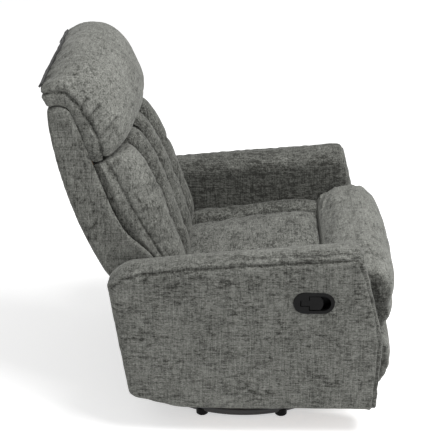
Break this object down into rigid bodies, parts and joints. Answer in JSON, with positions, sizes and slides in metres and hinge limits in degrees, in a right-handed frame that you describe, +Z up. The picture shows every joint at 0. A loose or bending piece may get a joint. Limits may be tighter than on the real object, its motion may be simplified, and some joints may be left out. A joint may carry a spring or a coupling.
{
  "type": "swivel glider recliner",
  "caption": "Padded armchair on a round swivel base that glides, with a reclining channelled back, a head pillow, a fold-out footrest and a release handle in the arm.",
  "frame": {"origin": "on the floor, under the middle of the chair's outline; the swivel axis stands 53 mm ahead of it", "axes": "+Z up, -Y the way the sitter faces, -X the sitter's right, where the release handle is"},
  "size_m": [0.764, 0.8757, 0.9512],
  "materials": {
    "upholstery": "matte",
    "lining": "matte",
    "black_steel": "satin",
    "zinc_steel": "satin",
    "timber": "matte",
    "black_plastic": "satin"
  },
  "bodies": {
    "base": {"base_ring": "black_steel", "base_spokes": "black_steel", "floor_glides": "black_plastic", "swivel_lower_race": "black_steel", "swivel_balls": "zinc_steel", "king_bolt": "zinc_steel"},
    "turntable": {"swivel_upper_race": "black_steel", "glider_crossbars": "black_steel", "glider_stands": "black_steel", "glide_upper_pins": "zinc_steel"},
    "rear_links": {"rear_swing_links": "zinc_steel"},
    "front_links": {"front_swing_links": "zinc_steel"},
    "chassis": {"carrier_rails": "black_steel", "glide_lower_pins": "zinc_steel", "cross_tubes": "black_steel", "mechanism_plate_left": "black_steel", "mechanism_plate_right": "black_steel", "arm_bolts": "zinc_steel", "arm_cover_left": "upholstery", "arm_cover_right": "upholstery", "arm_frame_left": "timber", "arm_frame_right": "timber", "seat_frame": "timber", "seat_brackets": "black_steel", "seat_springs": "zinc_steel", "spring_clips": "black_plastic", "seat_felt": "lining", "seat_cushion": "upholstery", "seat_front_roll": "upholstery", "rear_panel": "upholstery", "lift_pivot_pins": "zinc_steel", "back_hinge_pins": "zinc_steel", "handle_bezel": "black_plastic", "lever_pin": "zinc_steel", "release_cable": "black_plastic", "cable_bracket": "black_steel", "cable_wire": "zinc_steel"},
    "lever": {"release_lever": "black_plastic"},
    "backrest": {"back_cover": "upholstery", "back_brackets": "black_steel", "back_frame": "timber", "back_webbing": "lining", "back_cushion": "upholstery", "head_pillow": "upholstery", "back_zip": "black_plastic"},
    "lift_lower": {"lift_links_lower": "zinc_steel", "lift_rivets_lower": "zinc_steel", "torque_tube": "black_steel", "trip_crank": "black_steel"},
    "lift_slide": {"lift_links_slide": "zinc_steel", "lift_rivets_slide": "zinc_steel", "lift_slide_pins": "zinc_steel"},
    "footrest": {"footrest_carriers": "black_steel", "lift_rivets_footrest": "zinc_steel", "footrest_board": "timber", "footrest_screws": "zinc_steel", "footrest_pad": "upholstery"},
    "lift_upper": {"lift_links_upper": "zinc_steel"}
  },
  "joints": [
    {"name": "swivel", "type": "hinge", "parent": "base", "child": "turntable", "pos_m": [0, -0.053, 0.041], "axis": [0, 0, 1], "continuous": true},
    {"name": "rear_link_swing", "type": "hinge", "parent": "turntable", "child": "rear_links", "pos_m": [0, 0.027, 0.195], "axis": [1, 0, 0], "range_deg": [-20, 20]},
    {"name": "front_link_swing", "type": "hinge", "parent": "turntable", "child": "front_links", "pos_m": [0, -0.133, 0.195], "axis": [1, 0, 0], "range_deg": [-20, 20]},
    {"name": "glide", "type": "hinge", "parent": "rear_links", "child": "chassis", "pos_m": [0, 0.027, 0.085], "axis": [1, 0, 0], "range_deg": [-20, 20]},
    {"name": "recline", "type": "hinge", "parent": "chassis", "child": "backrest", "pos_m": [0, 0.21224, 0.32306], "axis": [-1, 0, 0], "range_deg": [0, 35]},
    {"name": "lift_lower_swing", "type": "hinge", "parent": "chassis", "child": "lift_lower", "pos_m": [0, -0.298, 0.135], "axis": [1, 0, 0], "range_deg": [0, 70]},
    {"name": "lift_slide_swing", "type": "hinge", "parent": "lift_lower", "child": "lift_slide", "pos_m": [0, -0.27019, 0.2206], "axis": [-1, 0, 0], "range_deg": [0, 140]},
    {"name": "footrest_lift", "type": "hinge", "parent": "lift_lower", "child": "footrest", "pos_m": [0, -0.24238, 0.30619], "axis": [-1, 0, 0], "range_deg": [0, 140]},
    {"name": "lift_upper_swing", "type": "hinge", "parent": "footrest", "child": "lift_upper", "pos_m": [0, -0.29779, 0.23527], "axis": [1, 0, 0], "range_deg": [0, 140]},
    {"name": "release_lever", "type": "hinge", "parent": "chassis", "child": "lever", "pos_m": [-0.378, -0.2028, 0.389], "axis": [0, 0, -1], "range_deg": [0, 28], "stiffness_Nm_per_rad": 0.5}
  ],
  "couplings": [
    {"joint": "rear_link_swing", "follows": "glide", "ratio": -1},
    {"joint": "front_link_swing", "follows": "glide", "ratio": -1},
    {"joint": "lift_lower_swing", "follows": "footrest_lift", "ratio": 0.5},
    {"joint": "lift_slide_swing", "follows": "footrest_lift", "ratio": 1},
    {"joint": "lift_upper_swing", "follows": "footrest_lift", "ratio": 1}
  ]
}
